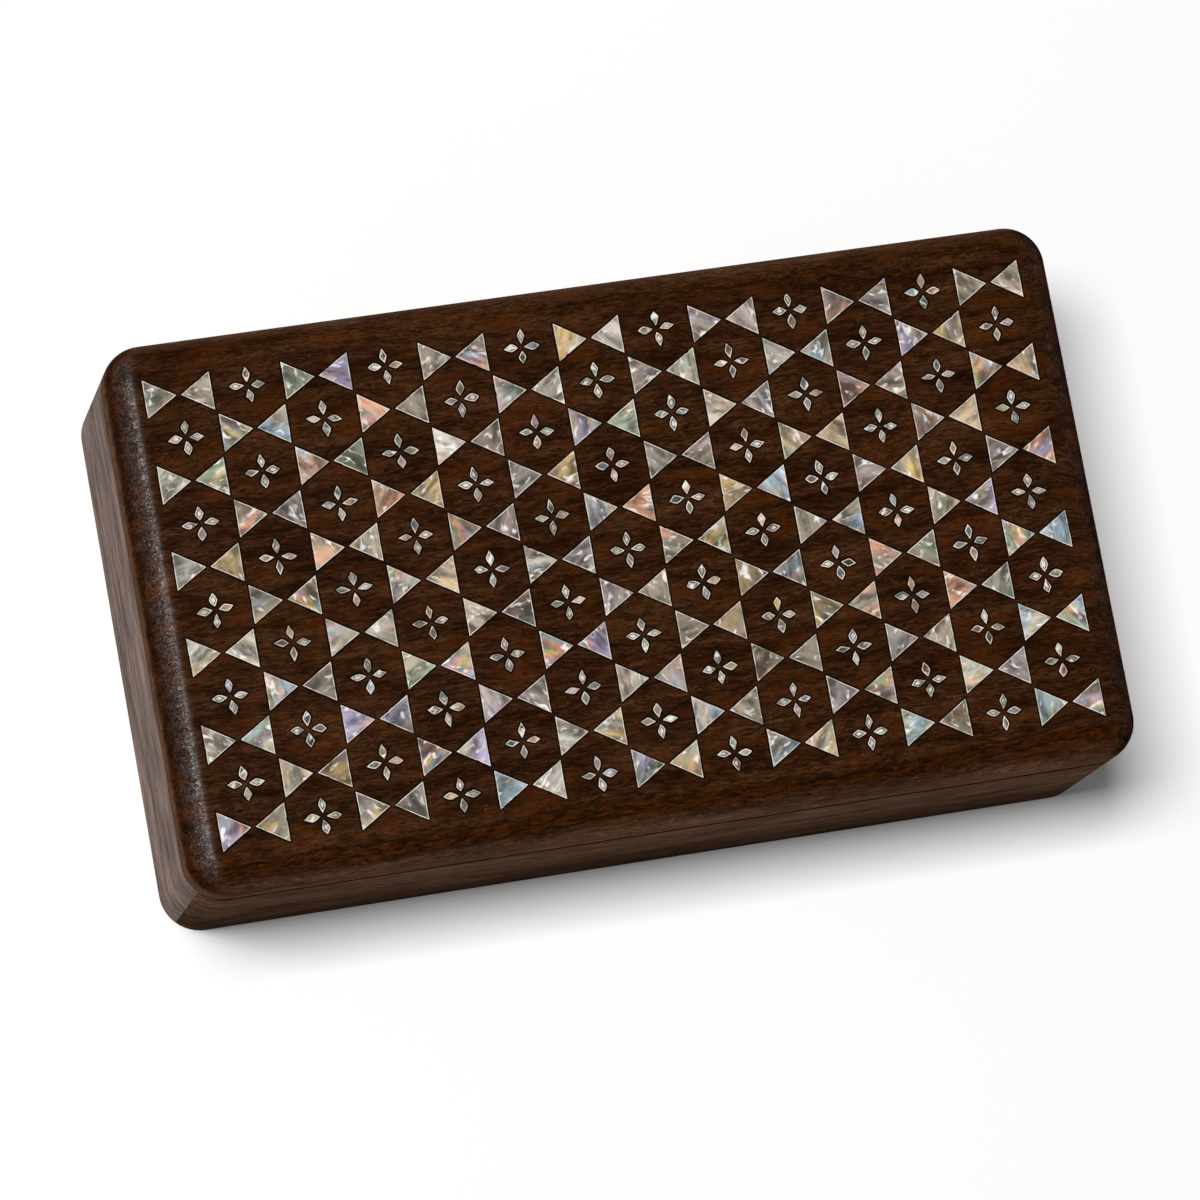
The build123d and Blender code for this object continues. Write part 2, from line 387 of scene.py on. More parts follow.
def rubbed_share(g, left_right, facing_up, end_grain, pebbles, cracks):
    """Where hands have polished the leaning end grain, most of all at the left."""
    leaning = g.times(g.stepped(facing_up, 0.52, 0.9), g.stepped(facing_up, 0.972, 1.0, 1.0, 0.0))
    left_end = g.times(end_grain, g.stepped(left_right, -60.0, 60.0, 1.0, 0.2))
    pebbly = g.times(left_end, g.stepped(pebbles, 0.3, 0.65, 0.7, 1.15))
    return g.times(g.times(leaning, pebbly), g.less(1.0, g.times(cracks, 0.85)))


def wood(name, shades, upright_lit_shades, along_y=False, seed=0.0, figure=1.0, wax=(0.02, 0.02),
         edge_streak=None, seam=None, foot_shade=1.0):
    """Dark oiled hardwood: wavy fibres, short dark pores, warm patches, and a pebbly end grain.

    The two ramps run from dark to light fibres, for level and for upright faces; where the upright
    ramp is lighter, that is painted light and painted reflection. A figure below 1 widens the streaks.
    edge_streak is the middle and half width of a streak along the grain, in millimetres, and its
    shade. seam is the height of the painted shade along the joint. foot_shade scales the wood's
    brightness at z = 0, and 2 - foot_shade does at the seam: painted shade low down, painted light
    near the seam. wax is the weight of the coat, on faces and on the rubbed edge.
    """
    g = material_graph(name)
    left_right, _, height_up = g.parts(g.place())
    place, normal = board_place(g, along_y, seed)
    facing_end, _, facing_up = g.parts(normal)
    end_grain = g.stepped(facing_end, 0.05, 0.45)
    upright = upright_share(g, facing_up, end_grain)
    fibres, bands, pores, across = long_grain(g, place, figure)
    patches = g.noise(g.scaled(place, (0.05, 0.12, 0.12)), 3.0, 0.6)
    pebbles, cracks = end_figure(g, place, end_grain)

    tone = g.plus(g.times(fibres, 0.5), g.times(bands, 0.3))
    tone = g.plus(tone, g.times(patches, 0.2))
    colour = warmed(g, g.ramp(tone, shades), place, end_grain)
    if edge_streak is not None:
        colour = streaked(g, colour, edge_streak, across, fibres, patches)
    # Upright faces take the second ramp; where it is lighter than the first, it is painted light and
    # painted reflection.
    colour = g.mix(upright, colour, g.ramp(tone, upright_lit_shades))
    dark_pores = g.times(pores, g.stepped(upright, 0.0, 1.0, 0.6, 0.25))
    colour = g.mix(dark_pores, colour, srgb(18, 8, 3))
    dark_cracks = g.times(cracks, g.stepped(upright, 0.0, 1.0, 0.7, 0.05))
    colour = g.mix(dark_cracks, colour, srgb(16, 8, 4))
    if seam is not None:
        colour = painted_seam_and_bottom_shade(g, colour, seam, foot_shade, height_up, facing_up, end_grain)

    rubbed = rubbed_share(g, left_right, facing_up, end_grain, pebbles, cracks)
    coat = g.plus(g.times(rubbed, wax[1] - wax[0]), wax[0])
    coat = g.times(coat, g.stepped(tone, 0.36, 0.64, 0.55, 1.3))
    roughness = g.plus(g.times(fibres, 0.1), g.times(pores, 0.15))
    height = g.less(g.times(fibres, 0.5), g.times(pores, 0.6))
    lumps = g.times(g.stepped(pebbles, 0.4, 0.62), g.times(end_grain, 4.0))
    relief = g.bump(g.plus(height, lumps), 1.0, 0.03 * MM)
    return g.principled(Base_Color=colour, Roughness=g.plus(roughness, 0.6), Normal=relief,
                        Specular_IOR_Level=0.0, Coat_Weight=coat, Coat_Roughness=0.32, Coat_IOR=1.8,
                        Coat_Normal=relief)


def mother_of_pearl():
    """Shell that changes over each piece: two tints, soft folds, crumples, pale fire, painted glints and
    pale rim.
    """
    g = material_graph("mother_of_pearl_finish")
    place = g.attribute("pearl_place")
    fire = g.attribute("pearl_fire", "Fac")
    rim = g.attribute("pearl_rim", "Fac")
    blend = g.stepped(g.noise(g.scaled(place, (0.1, 0.2, 1.0)), 1.0, 0.5, 0.5), 0.38, 0.62)
    colour = g.mix(blend, g.attribute("pearl_tint", "Color"), g.attribute("pearl_other_tint", "Color"))

    hue = g.noise(g.scaled(g.added(place, (17.0, 3.0, 5.0)), (0.08, 0.2, 1.0)), 0.0, 0.5, 0.4)
    hues = g.ramp(hue, [(0.28, srgb(124, 145, 160)), (0.4, srgb(128, 148, 112)),
                        (0.48, srgb(194, 164, 98)), (0.54, srgb(204, 136, 108)),
                        (0.61, srgb(170, 140, 154)), (0.72, srgb(144, 163, 180))])
    burn = g.noise(g.scaled(g.added(place, (31.0, 7.0, 3.0)), (0.14, 0.28, 1.0)), 0.0)
    colour = g.mix(g.times(g.stepped(burn, 0.42, 0.66), fire), colour, hues)

    clouds = g.noise(g.scaled(place, (0.15, 0.24, 1.0)), 1.0, 0.5, 0.6)
    folds = g.noise(g.scaled(place, (0.08, 0.5, 1.0)), 1.0, 0.5, 0.6)
    crumples = g.noise(g.scaled(place, (0.55, 0.9, 1.0)), 1.0, 0.5, 1.0)
    depth = g.plus(g.times(clouds, 0.5), g.times(folds, 0.33))
    depth = g.plus(depth, g.times(crumples, 0.17))
    light = g.stepped(depth, 0.34, 0.66, 0.28, 1.6)
    colour = g.mix(1.0, colour, g.vector(light, light, light), "MULTIPLY")

    # Painted glints: near-white patches painted into the colour as highlights.
    painted_glint = g.noise(g.scaled(g.added(place, (5.0, 61.0, 9.0)), (0.34, 0.6, 1.0)), 1.0, 0.5, 0.6)
    colour = g.mix(g.stepped(painted_glint, 0.56, 0.79, 0.0, 0.95), colour, srgb(250, 246, 240))
    # The rim is painted near-white as a highlight along the bevel, broken up by noise; petals' hearts
    # take the same colour.
    rim_highlight_patches = g.noise(g.scaled(place, (0.35, 0.35, 1.0)), 2.0)
    edge = g.times(g.stepped(rim, 0.15, 0.5), g.stepped(rim_highlight_patches, 0.36, 0.6, 0.2, 0.95))
    colour = g.mix(edge, colour, srgb(230, 220, 205))
    return g.principled(Base_Color=colour, Roughness=0.2, Normal=g.bump(depth, 0.3, 0.05 * MM),
                        Specular_IOR_Level=0.25)


def mastic():
    """Black shellac mastic that fills the pockets."""
    g = material_graph("mastic_finish")
    grit = g.noise(g.scaled(g.place(), (6.0, 6.0, 6.0)), 2.0)
    colour = g.ramp(grit, [(0.3, srgb(3, 2, 1)), (0.7, srgb(10, 7, 5))])
    return g.principled(Base_Color=colour, Roughness=0.7, Normal=g.bump(grit, 0.4, 0.02 * MM),
                        Specular_IOR_Level=0.03)


def velvet():
    """Short crimson pile, brushed in patches."""
    g = material_graph("velvet_finish")
    place = g.place()
    pile = g.noise(g.scaled(place, (5.0, 5.0, 5.0)), 2.0, 0.7)
    brushed = g.noise(g.scaled(place, (0.05, 0.05, 0.05)), 3.0, 0.55, 0.6)
    tone = g.plus(g.times(pile, 0.45), g.times(brushed, 0.55))
    colour = g.ramp(tone, [(0.3, srgb(58, 6, 14)), (0.5, srgb(92, 12, 24)), (0.7, srgb(128, 26, 38))])
    return g.principled(Base_Color=colour, Roughness=0.9, Normal=g.bump(pile, 0.7, 0.12 * MM),
                        Specular_IOR_Level=0.1, Sheen_Weight=0.6, Sheen_Roughness=0.4,
                        Sheen_Tint=srgb(220, 110, 120))


def brass():
    """Old brass, drawn lengthways and a little tarnished."""
    g = material_graph("brass_finish")
    place = g.place()
    drawn = g.noise(g.scaled(place, (0.4, 14.0, 14.0)), 2.0)
    tarnish = g.noise(g.scaled(place, (0.35, 0.35, 0.35)), 4.0, 0.6)
    colour = g.ramp(tarnish, [(0.35, srgb(203, 166, 92)), (0.6, srgb(178, 138, 70)),
                              (0.8, srgb(122, 92, 50))])
    roughness = g.plus(g.times(tarnish, 0.35), g.times(drawn, 0.2))
    return g.principled(Base_Color=colour, Roughness=roughness, Normal=g.bump(drawn, 0.4, 0.02 * MM),
                        Metallic=0.8)


def floor_finish():
    """White sweep: a matt surface that keeps the shadow, lifted a little wherever the camera sees it."""
    g = material_graph("floor_finish")
    mottle = g.noise(g.scaled(g.place(), (0.004, 0.004, 0.004)), 1.0)
    colour = g.ramp(mottle, [(0.3, (0.9, 0.9, 0.9, 1.0)), (0.7, (0.915, 0.915, 0.915, 1.0))])
    matt = g.node("BsdfDiffuse", {"Color": colour}).outputs[0]
    glow = g.node("Emission", {"Strength": g.times(g.white_rays(), FLOOR_LIFT)}).outputs[0]
    return g.ended(g.node("AddShader", {0: matt, 1: glow}).outputs[0])


seam_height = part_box("lid_board")[0].z / MM

# Ramps of the wood, from dark to light fibres.
TOP_SHADES = [(0.35, srgb(20, 7, 2)), (0.45, srgb(37, 17, 5)), (0.52, srgb(53, 29, 13)),
              (0.59, srgb(69, 41, 21)), (0.69, srgb(92, 58, 34))]
# Lighter ramp for the lid's upright edges: painted light and painted reflection of the floor.
LIT_EDGE_SHADES = [(0.36, srgb(64, 42, 27)), (0.52, srgb(99, 71, 54)), (0.68, srgb(132, 99, 78))]
WALL_SHADES = [(0.36, srgb(52, 34, 22)), (0.52, srgb(84, 59, 42)), (0.68, srgb(116, 84, 62))]
# Lighter ramp for the side walls' upright faces: painted light.
LIT_SIDE_SHADES = [(0.38, srgb(46, 29, 21)), (0.52, srgb(98, 70, 54)), (0.66, srgb(146, 110, 90))]
PANEL_SHADES = [(0.34, srgb(46, 27, 16)), (0.5, srgb(66, 42, 26)), (0.72, srgb(92, 62, 40))]
finish = {
    # The lid: lighter edges, which are painted light and reflection, and painted shade in the seam.
    "lid_wood": wood("lid_wood_finish", TOP_SHADES, LIT_EDGE_SHADES, wax=(0.012, 0.38),
                     edge_streak=(-60.1, 1.7, srgb(66, 30, 3)), seam=seam_height),
    # The front and back walls: painted shade in the seam, painted shade low down and painted light near
    # the seam.
    "wall_wood": wood("wall_wood_finish", WALL_SHADES, WALL_SHADES, seed=40.0, figure=0.5,
                      seam=seam_height, foot_shade=0.56),
    # The side walls: a lighter copy of the wall wood, painted light.
    "side_wood": wood("side_wood_finish", WALL_SHADES, LIT_SIDE_SHADES, along_y=True, seed=85.0,
                      figure=0.45, wax=(0.28, 0.28)),
    "panel_wood": wood("panel_wood_finish", PANEL_SHADES, PANEL_SHADES, seed=130.0),
    "mother_of_pearl": mother_of_pearl(),
    "mastic": mastic(),
    "velvet": velvet(),
    "brass": brass(),
}


# ---------------------------------------------------------------- mesh helpers

def mesh_of(name, bm):
    """Mesh made from a bmesh, which is freed."""
    mesh = bpy.data.meshes.new(name)
    bm.to_mesh(mesh)
    bm.free()
    return mesh


def in_scene(name, data):
    """Object in the scene for a mesh, a lamp or a camera."""
    made = bpy.data.objects.new(name, data)
    bpy.context.scene.collection.objects.link(made)
    return made


def new_piece(name, bm, body, material, replaced=(), crease=CREASE):
    """Object from a bmesh: shaded smooth up to the crease angle, riding on its body."""
    bmesh.ops.recalc_face_normals(bm, faces=bm.faces)
    piece = in_scene(name, mesh_of(name, bm))
    piece.data.materials.append(finish[material])
    shade(piece, crease)
    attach(piece, body)
    if replaced:
        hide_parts(*replaced)
    return piece


def shade(piece, crease):
    """Smooth faces, with edges past the crease angle kept sharp and large faces kept flat."""
    piece.data.shade_smooth()
    piece.data.set_sharp_from_angle(angle=radians(crease))
    weighted = piece.modifiers.new("weighted", "WEIGHTED_NORMAL")
    weighted.weight = 100          # the largest faces decide
    weighted.keep_sharp = True
    apply_modifiers(piece)


def straighten(piece):
    """Straight-up normals on a piece's level faces, however thin the slivers beside them."""
    normals = [corner.vector.copy() for corner in piece.data.corner_normals]
    for face in piece.data.polygons:
        if face.normal.z > LEVEL:
            for corner in face.loop_indices:
                normals[corner] = Vector((0, 0, 1))
    piece.data.normals_split_custom_set(normals)


def apply_modifiers(piece):
    """Puts a piece's modifiers into its mesh."""
    graph = bpy.context.evaluated_depsgraph_get()
    mesh = bpy.data.meshes.new_from_object(piece.evaluated_get(graph), depsgraph=graph)
    piece.modifiers.clear()
    piece.data = mesh


def cut(piece, cutters):
    """Takes closed shapes, one bmesh for each cut, out of a piece."""
    for index, cutter in enumerate(cutters):
        bmesh.ops.recalc_face_normals(cutter, faces=cutter.faces)
        tool = in_scene("cutter", mesh_of("cutter", cutter))
        boolean = piece.modifiers.new(f"cut{index}", "BOOLEAN")
        boolean.operation = "DIFFERENCE"
        boolean.solver = "MANIFOLD"
        boolean.object = tool
        apply_modifiers(piece)
        bpy.data.objects.remove(tool)


def bridge(bm, low, high):
    """Faces between two loops of vertices."""
    for i in range(len(low)):
        j = (i + 1) % len(low)
        bm.faces.new((low[i], low[j], high[j], high[i]))


def skin(bm, rings):
    """Closed solid through rings of points, bottom ring first, with a face at each end."""
    loops = [[bm.verts.new(point) for point in ring] for ring in rings]
    for low, high in zip(loops, loops[1:]):
        bridge(bm, low, high)
    bm.faces.new(loops[0][::-1])
    bm.faces.new(loops[-1])
    return loops


def ring_at(outline, z, centre=None, scale=1.0):
    """A flat outline as points at height z, scaled about a centre."""
    if centre is None:
        return [Vector((x, y, z)) for x, y in outline]
    return [Vector((centre[0] + (x - centre[0]) * scale, centre[1] + (y - centre[1]) * scale, z))
            for x, y in outline]


def turns(steps):
    """Angles all round, in equal steps."""
    return [2 * pi * step / steps for step in range(steps)]


def rounded_rectangle(half_x, half_y, radius, steps):
    """Outline of a rectangle with round corners, anticlockwise from the right corner at the front."""
    points = []
    for corner, (sx, sy) in enumerate(((1, -1), (1, 1), (-1, 1), (-1, -1))):
        for step in range(steps + 1):
            turn = radians(90 * (corner - 1 + step / steps))
            points.append((sx * (half_x - radius) + radius * cos(turn),
                           sy * (half_y - radius) + radius * sin(turn)))
    return points


def block(low, high):
    """Closed box between two corners."""
    bm = bmesh.new()
    outline = [(low[0], low[1]), (high[0], low[1]), (high[0], high[1]), (low[0], high[1])]
    skin(bm, [ring_at(outline, low[2]), ring_at(outline, high[2])])
    return bm


def prism(section, start, end):
    """Closed solid of a Y-Z section, along X from start to end."""
    bm = bmesh.new()
    skin(bm, [[Vector((x, y, z)) for y, z in section] for x in (start, end)])
    return bm


def cad_mesh(node):
    """A CAD node's mesh with its doubled vertices merged."""
    bm = bmesh.new()
    bm.from_mesh(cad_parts[node].data)
    bmesh.ops.remove_doubles(bm, verts=bm.verts, dist=MERGE)
    return bm


def separate_solids(bm):
    """The places of the vertices of each separate solid in a mesh."""
    solids = []
    seen = set()
    for start in bm.verts:
        if start.index in seen:
            continue
        seen.add(start.index)
        places, waiting = [], [start]
        while waiting:
            vert = waiting.pop()
            places.append(vert.co.copy())
            for edge in vert.link_edges:
                other = edge.other_vert(vert)
                if other.index not in seen:
                    seen.add(other.index)
                    waiting.append(other)
        solids.append(places)
    return solids


def top_outlines(node):
    """For each separate solid of a CAD node, the corners of its top face, anticlockwise."""
    bm = cad_mesh(node)
    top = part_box(node)[1].z
    outlines = []
    for places in separate_solids(bm):
        corners = [Vector((co.x, co.y)) for co in places if co.z > top - NEAR]
        middle = sum(corners, Vector((0, 0))) / len(corners)
        corners.sort(key=lambda c: atan2(c.y - middle.y, c.x - middle.x))
        outlines.append((middle, corners))
    bm.free()
    outlines.sort(key=lambda item: (round(item[0].x / MM, 2), round(item[0].y / MM, 2)))
    return [corners for _, corners in outlines]


# ----------------------------------------------------------------------- inlay

# Tints of the shell, each with how often it is drawn.
TINTS = [(6, srgb(148, 136, 118)), (4, srgb(126, 116, 101)), (4, srgb(142, 136, 124)),
         (3, srgb(170, 148, 118)), (3, srgb(154, 138, 138)), (2, srgb(132, 140, 116)),
         (3, srgb(172, 164, 154)), (2, srgb(182, 154, 104)), (2, srgb(182, 132, 108)),
         (2, srgb(128, 142, 150)), (1, srgb(146, 136, 160))]


def nibbled(start, end, rng):
    """Points of one hand-sawn side, from start up to but not including end."""
    along = end - start
    length = along.length
    inward = Vector((-along.y, along.x)) / length
    phases = [rng.uniform(0, 2 * pi) for _ in SAW_TURNS]
    chip = rng.uniform(*CHIP_PLACE) if rng.random() < SIDE_CHIPS else None
    depth = rng.uniform(*CHIP_DEPTH) * MM
    width = rng.uniform(*CHIP_WIDTH) * MM / length
    side = []
    for i in range(SIDE_STEPS):
        t = i / SIDE_STEPS
        fade = min(1.0, FADE * t, FADE * (1 - t))
        wave = sum(sin(phase + 2 * pi * waves * t) / waves for phase, waves in zip(phases, SAW_TURNS))
        move = SAW_WOBBLE * MM * fade * wave
        if chip is not None:
            move += depth * max(0.0, 1 - abs(t - chip) / width)
        side.append(start + along * t + inward * move)
    return side


def incentre(corners):
    """Centre and radius of a triangle's inscribed circle."""
    a, b, c = corners
    sides = [(b - c).length, (c - a).length, (a - b).length]
    centre = (a * sides[0] + b * sides[1] + c * sides[2]) / sum(sides)
    area = abs((b - a).cross(c - a)) / 2
    return centre, 2 * area / sum(sides)


def grown(outline, width):
    """An anticlockwise outline moved outwards by a width, with its corners kept blunt."""
    moved = []
    for before, here, after in zip(outline[-1:] + outline[:-1], outline, outline[1:] + outline[:1]):
        first = Vector((here.y - before.y, before.x - here.x)).normalized()
        second = Vector((after.y - here.y, here.x - after.x)).normalized()
        outwards = (first + second).normalized()
        moved.append(here + outwards * min(width / outwards.dot(first), POCKET_CORNER * width))
    return moved


def cut_triangle(corners, rng):
    """Hand-cut triangle: its outline, a clean one for its pocket, and its centre and radius."""
    moved = [corner + Vector((rng.uniform(-CORNER_SHIFT, CORNER_SHIFT),
                              rng.uniform(-CORNER_SHIFT, CORNER_SHIFT))) * MM for corner in corners]
    centre, radius = incentre(moved)
    outline, clean = [], []
    for a, b in zip(moved, moved[1:] + moved[:1]):
        blunt = rng.uniform(*CORNER_BLUNTING) * MM / (b - a).length
        start, end = a.lerp(b, blunt), b.lerp(a, blunt)
        outline += nibbled(start, end, rng) + [end]
        clean += [start.lerp(end, i / SIDE_STEPS) for i in range(SIDE_STEPS + 1)]
    return outline, clean, centre, radius


def chipped(clean, middle, rng):
    """A petal's outline as the file left it: uneven, and chipped on some petals."""
    chip = rng.randrange(len(clean)) if rng.random() < PETAL_CHIPS else None
    outline = []
    for i, point in enumerate(clean):
        inward = (middle - point).normalized()
        move = rng.uniform(*PETAL_WOBBLE) * MM
        if chip is not None and abs(i - chip) <= 1:
            move += rng.uniform(*PETAL_CHIP_DEPTH) * MM
        outline.append(point + inward * move)
    return outline


def cut_petal(corners, rng):
    """Hand-cut petal from the kite of its CAD solid: outline, clean outline, centre and radius."""
    long_pair, short_pair = (corners[0], corners[2]), (corners[1], corners[3])
    if (short_pair[0] - short_pair[1]).length > (long_pair[0] - long_pair[1]).length:
        long_pair, short_pair = short_pair, long_pair
    belly = (short_pair[0] + short_pair[1]) / 2
    inner, outer = sorted(long_pair, key=lambda c: -(c - belly).length)
    axis = outer - inner
    axis.rotate(Matrix.Rotation(radians(rng.gauss(0, PETAL_TILT)), 2))
    axis *= rng.uniform(*PETAL_LENGTH)
    inner = inner + Vector((rng.gauss(0, PETAL_SHIFT), rng.gauss(0, PETAL_SHIFT))) * MM
    across = Vector((-axis.y, axis.x)).normalized()
    half = (short_pair[0] - short_pair[1]).length / 2 * rng.uniform(*PETAL_WIDTH)
    widest = rng.uniform(*PETAL_WIDEST)
    roundness = rng.uniform(*PETAL_ROUNDNESS)
    bend = rng.gauss(0, PETAL_BEND) * MM
    sides = []
    for sign in (-1, 1):
        side = []
        peak = widest + rng.uniform(-PETAL_SKEW, PETAL_SKEW)
        for i in range(PETAL_STEPS):
            t = i / PETAL_STEPS
            rise = t / peak if t < peak else (1 - t) / (1 - peak)
            swell = (1 - roundness) * rise + roundness * sin(rise * pi / 2)
            side.append(inner + axis * t + across * (sign * half * swell + bend * sin(pi * t)))
        sides.append(side)
    clean = sides[0] + [inner + axis] + sides[1][:0:-1]
    middle = inner + axis * widest + across * bend
    return chipped(clean, middle, rng), clean, middle, half * PETAL_RADIUS


def shell_layers(bm):
    """The vertex layers that the shell's finish reads."""
    return {"place": bm.verts.layers.float_vector.new("pearl_place"),
            "tint": bm.verts.layers.float_color.new("pearl_tint"),
            "other_tint": bm.verts.layers.float_color.new("pearl_other_tint"),
            "fire": bm.verts.layers.float.new("pearl_fire"),
            "rim": bm.verts.layers.float.new("pearl_rim")}


def add_shell(bm, layers, outline, centre, radius, top, depth, rng, heart=None):
    """Shell solid with a bevelled rim, painted pale as a highlight; its look goes into the vertex layers.

    A petal has a heart, from 0 for none to 1 for one as pale as the rim.
    """
    rings = [ring_at(outline, top - depth), ring_at(outline, top - SHELL_BEVEL),
             ring_at(outline, top, centre, 1 - SHELL_BEVEL / radius),
             ring_at(outline, top, centre, 1 - RIM / radius)]
    # Paleness 1 on the outer rings is the rim's painted highlight.
    paleness = [1.0, 1.0, 1.0, 0.0]
    if heart is not None:
        rings += [ring_at(outline, top, centre, HEART * HEART_EDGE), ring_at(outline, top, centre, HEART)]
        paleness += [0.0, heart]
    loops = skin(bm, rings)
    turn = Matrix.Rotation(rng.uniform(0, pi), 2)
    offset = Vector((rng.uniform(0, SHEET), rng.uniform(0, SHEET)))
    strength = rng.uniform(*(TRIANGLE_LIGHT if heart is None else PETAL_LIGHT))
    drawn = rng.choices([tint for _, tint in TINTS], [weight for weight, _ in TINTS], k=2)
    tints = [Vector(tint[:3]) * strength for tint in drawn]
    fire = rng.choice(FIRES)
    sheet = rng.uniform(0, SHEETS)
    for loop, rim in zip(loops, paleness):
        for vert in loop:
            local = turn @ Vector((vert.co.x, vert.co.y)) / MM + offset
            vert[layers["place"]] = (local.x, local.y, sheet)
            vert[layers["tint"]] = (*tints[0], 1.0)
            vert[layers["other_tint"]] = (*tints[1], 1.0)
            vert[layers["fire"]] = fire
            vert[layers["rim"]] = rim


def fill_pocket(bm, outline, pocket, floor_z, rest_z):
    """Mastic between a shell piece and the wall of its pocket."""
    rings = [ring_at(outline, rest_z), ring_at(outline, floor_z),
             ring_at(pocket, floor_z), ring_at(pocket, rest_z)]
    loops = [[bm.verts.new(point) for point in ring] for ring in rings]
    for inner, outer in zip(loops, loops[1:] + loops[:1]):
        bridge(bm, inner, outer)


def lay_shell():
    """All shell pieces and their mastic; gives the cutters of their pockets, one for each node."""
    rng = Random(CUTTING_SEED)
    mastic_bm = bmesh.new()
    pockets = []
    for node in sorted(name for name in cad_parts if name.startswith("shell_")):
        low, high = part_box(node)
        bm, pockets_bm = bmesh.new(), bmesh.new()
        layers = shell_layers(bm)
        for corners in top_outlines(node):
            if len(corners) == 3:
                outline, clean, centre, radius = cut_triangle(corners, rng)
                heart = None
            else:
                outline, clean, centre, radius = cut_petal(corners, rng)
                heart = rng.choice(HEARTS)
            add_shell(bm, layers, outline, centre, radius, high.z, high.z - low.z, rng, heart)
            pocket = grown(clean, MASTIC_WIDTH * rng.uniform(*MASTIC_SHARE))
            fill_pocket(mastic_bm, outline, pocket, low.z, high.z - MASTIC_DEPTH)
            skin(pockets_bm, [ring_at(pocket, low.z), ring_at(pocket, high.z + BEYOND)])
        new_piece("cut_" + node, bm, "lid", "mother_of_pearl", [node], FINE_CREASE)
        pockets.append(pockets_bm)
    new_piece("mastic_fill", mastic_bm, "lid", "mastic")
    return pockets


# ------------------------------------------------------------------- lid board

def divide_top(bm, top, half_x, half_y):
    """Divides the lid's flat top into cells, so that the pockets leave no long thin faces in it."""
    for axis, half in ((0, half_x), (1, half_y)):
        cells = round(2 * half / TOP_CELL)
        across = Vector((1 - axis, axis, 0))
        for cell in range(1, cells):
            caps = [face for face in bm.faces
                    if face.normal.z > NEARLY_LEVEL and face.calc_center_median().z > top - CLEAR]
            touched = set(caps) | {edge for face in caps for edge in face.edges}
            touched |= {vert for face in caps for vert in face.verts}
            place = 2 * half * cell / cells - half
            bmesh.ops.bisect_plane(bm, geom=list(touched), plane_co=across * place, plane_no=across)


def lid_blank():
    """The lid before its cuts: the box's rounded plan, rounded over above, with a seam bevel below."""
    low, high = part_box("lid_board")
    corner = LID_ROUND + TOP_CORNER
    profile = [(SEAM_ARRIS, low.z), (0.0, low.z + SEAM_ARRIS)]
    for step in range(ROUND_STEPS + 1):
        turn = radians(90 * step / ROUND_STEPS)
        profile.append((LID_ROUND * (1 - cos(turn)), high.z - LID_ROUND * (1 - sin(turn))))
    rings = []
    for inset, z in profile:
        outline = rounded_rectangle(high.x - inset, high.y - inset, corner - inset, CORNER_STEPS)
        rings.append(ring_at(outline, z))
    bm = bmesh.new()
    skin(bm, rings)
    divide_top(bm, high.z, high.x, high.y)
    return bm


def bevel_wedge():
    """What the back bevel takes from the lid: a wedge that opens from the hinge axis."""
    reach = cad_box[1][1] - axis_y + BEYOND
    section = [(axis_y, axis_z), (axis_y, axis_z - CLEAR), (axis_y + reach, axis_z - CLEAR),
               (axis_y + reach, axis_z + reach * tan(radians(BEVEL_ANGLE)))]
    end = cad_box[1][0] + BEYOND
    return prism(section, -end, end)


def hinge_spans():
    """Where each hinge starts and ends along X."""
    xs = sorted(vert.co.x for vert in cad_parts["hinge_pins"].data.vertices)
    breaks = [(a, b) for a, b in zip(xs, xs[1:]) if b - a > HINGE_GAP]
    starts = [xs[0]] + [b for _, b in breaks]
    ends = [a for a, _ in breaks] + [xs[-1]]
    return list(zip(starts, ends))


def mortises():
    """What each hinge takes from the lid: a bed for its leaf, and room for its barrel."""
    leaf_low, leaf_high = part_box("hinge_lid_leaves")
    barrel = leaf_high.y - axis_y + BARREL_CLEARANCE
    section = [(axis_y + barrel * cos(turn), axis_z + barrel * sin(turn)) for turn in turns(BARREL_STEPS)]
    cutters = []
    for start, end in hinge_spans():
        cutters.append(block((start - LEAF_FIT, leaf_low.y - LEAF_FIT, axis_z - CLEAR),
                             (end + LEAF_FIT, axis_y, axis_z + LEAF_THICKNESS)))
        cutters.append(prism(section, start - BARREL_CLEARANCE, end + BARREL_CLEARANCE))
    return cutters


def make_lid(pockets):
    """The lid board with its recess, back bevel, hinge mortises and pockets."""
    low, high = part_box("lid_lining")
    recess = block((low.x - RECESS_FIT, low.y - RECESS_FIT, low.z - BEYOND),
                   (high.x + RECESS_FIT, high.y + RECESS_FIT, high.z))
    piece = new_piece("lid_top_board", lid_blank(), "lid", "lid_wood", ["lid_board"])
    cut(piece, [recess, bevel_wedge()] + mortises() + pockets)
    shade(piece, FINE_CREASE)
    straighten(piece)


make_lid(lay_shell())


# --------------------------------------------------------------------- hinges

def turned(profile, centre, facing):
    """Closed solid turned about an upright axis; the profile is (radius, depth below the face) pairs."""
    bm = bmesh.new()
    skin(bm, [[centre + Vector((radius * cos(turn), radius * sin(turn), -depth * facing))
               for turn in turns(SCREW_STEPS)] for radius, depth in profile])
    return bm


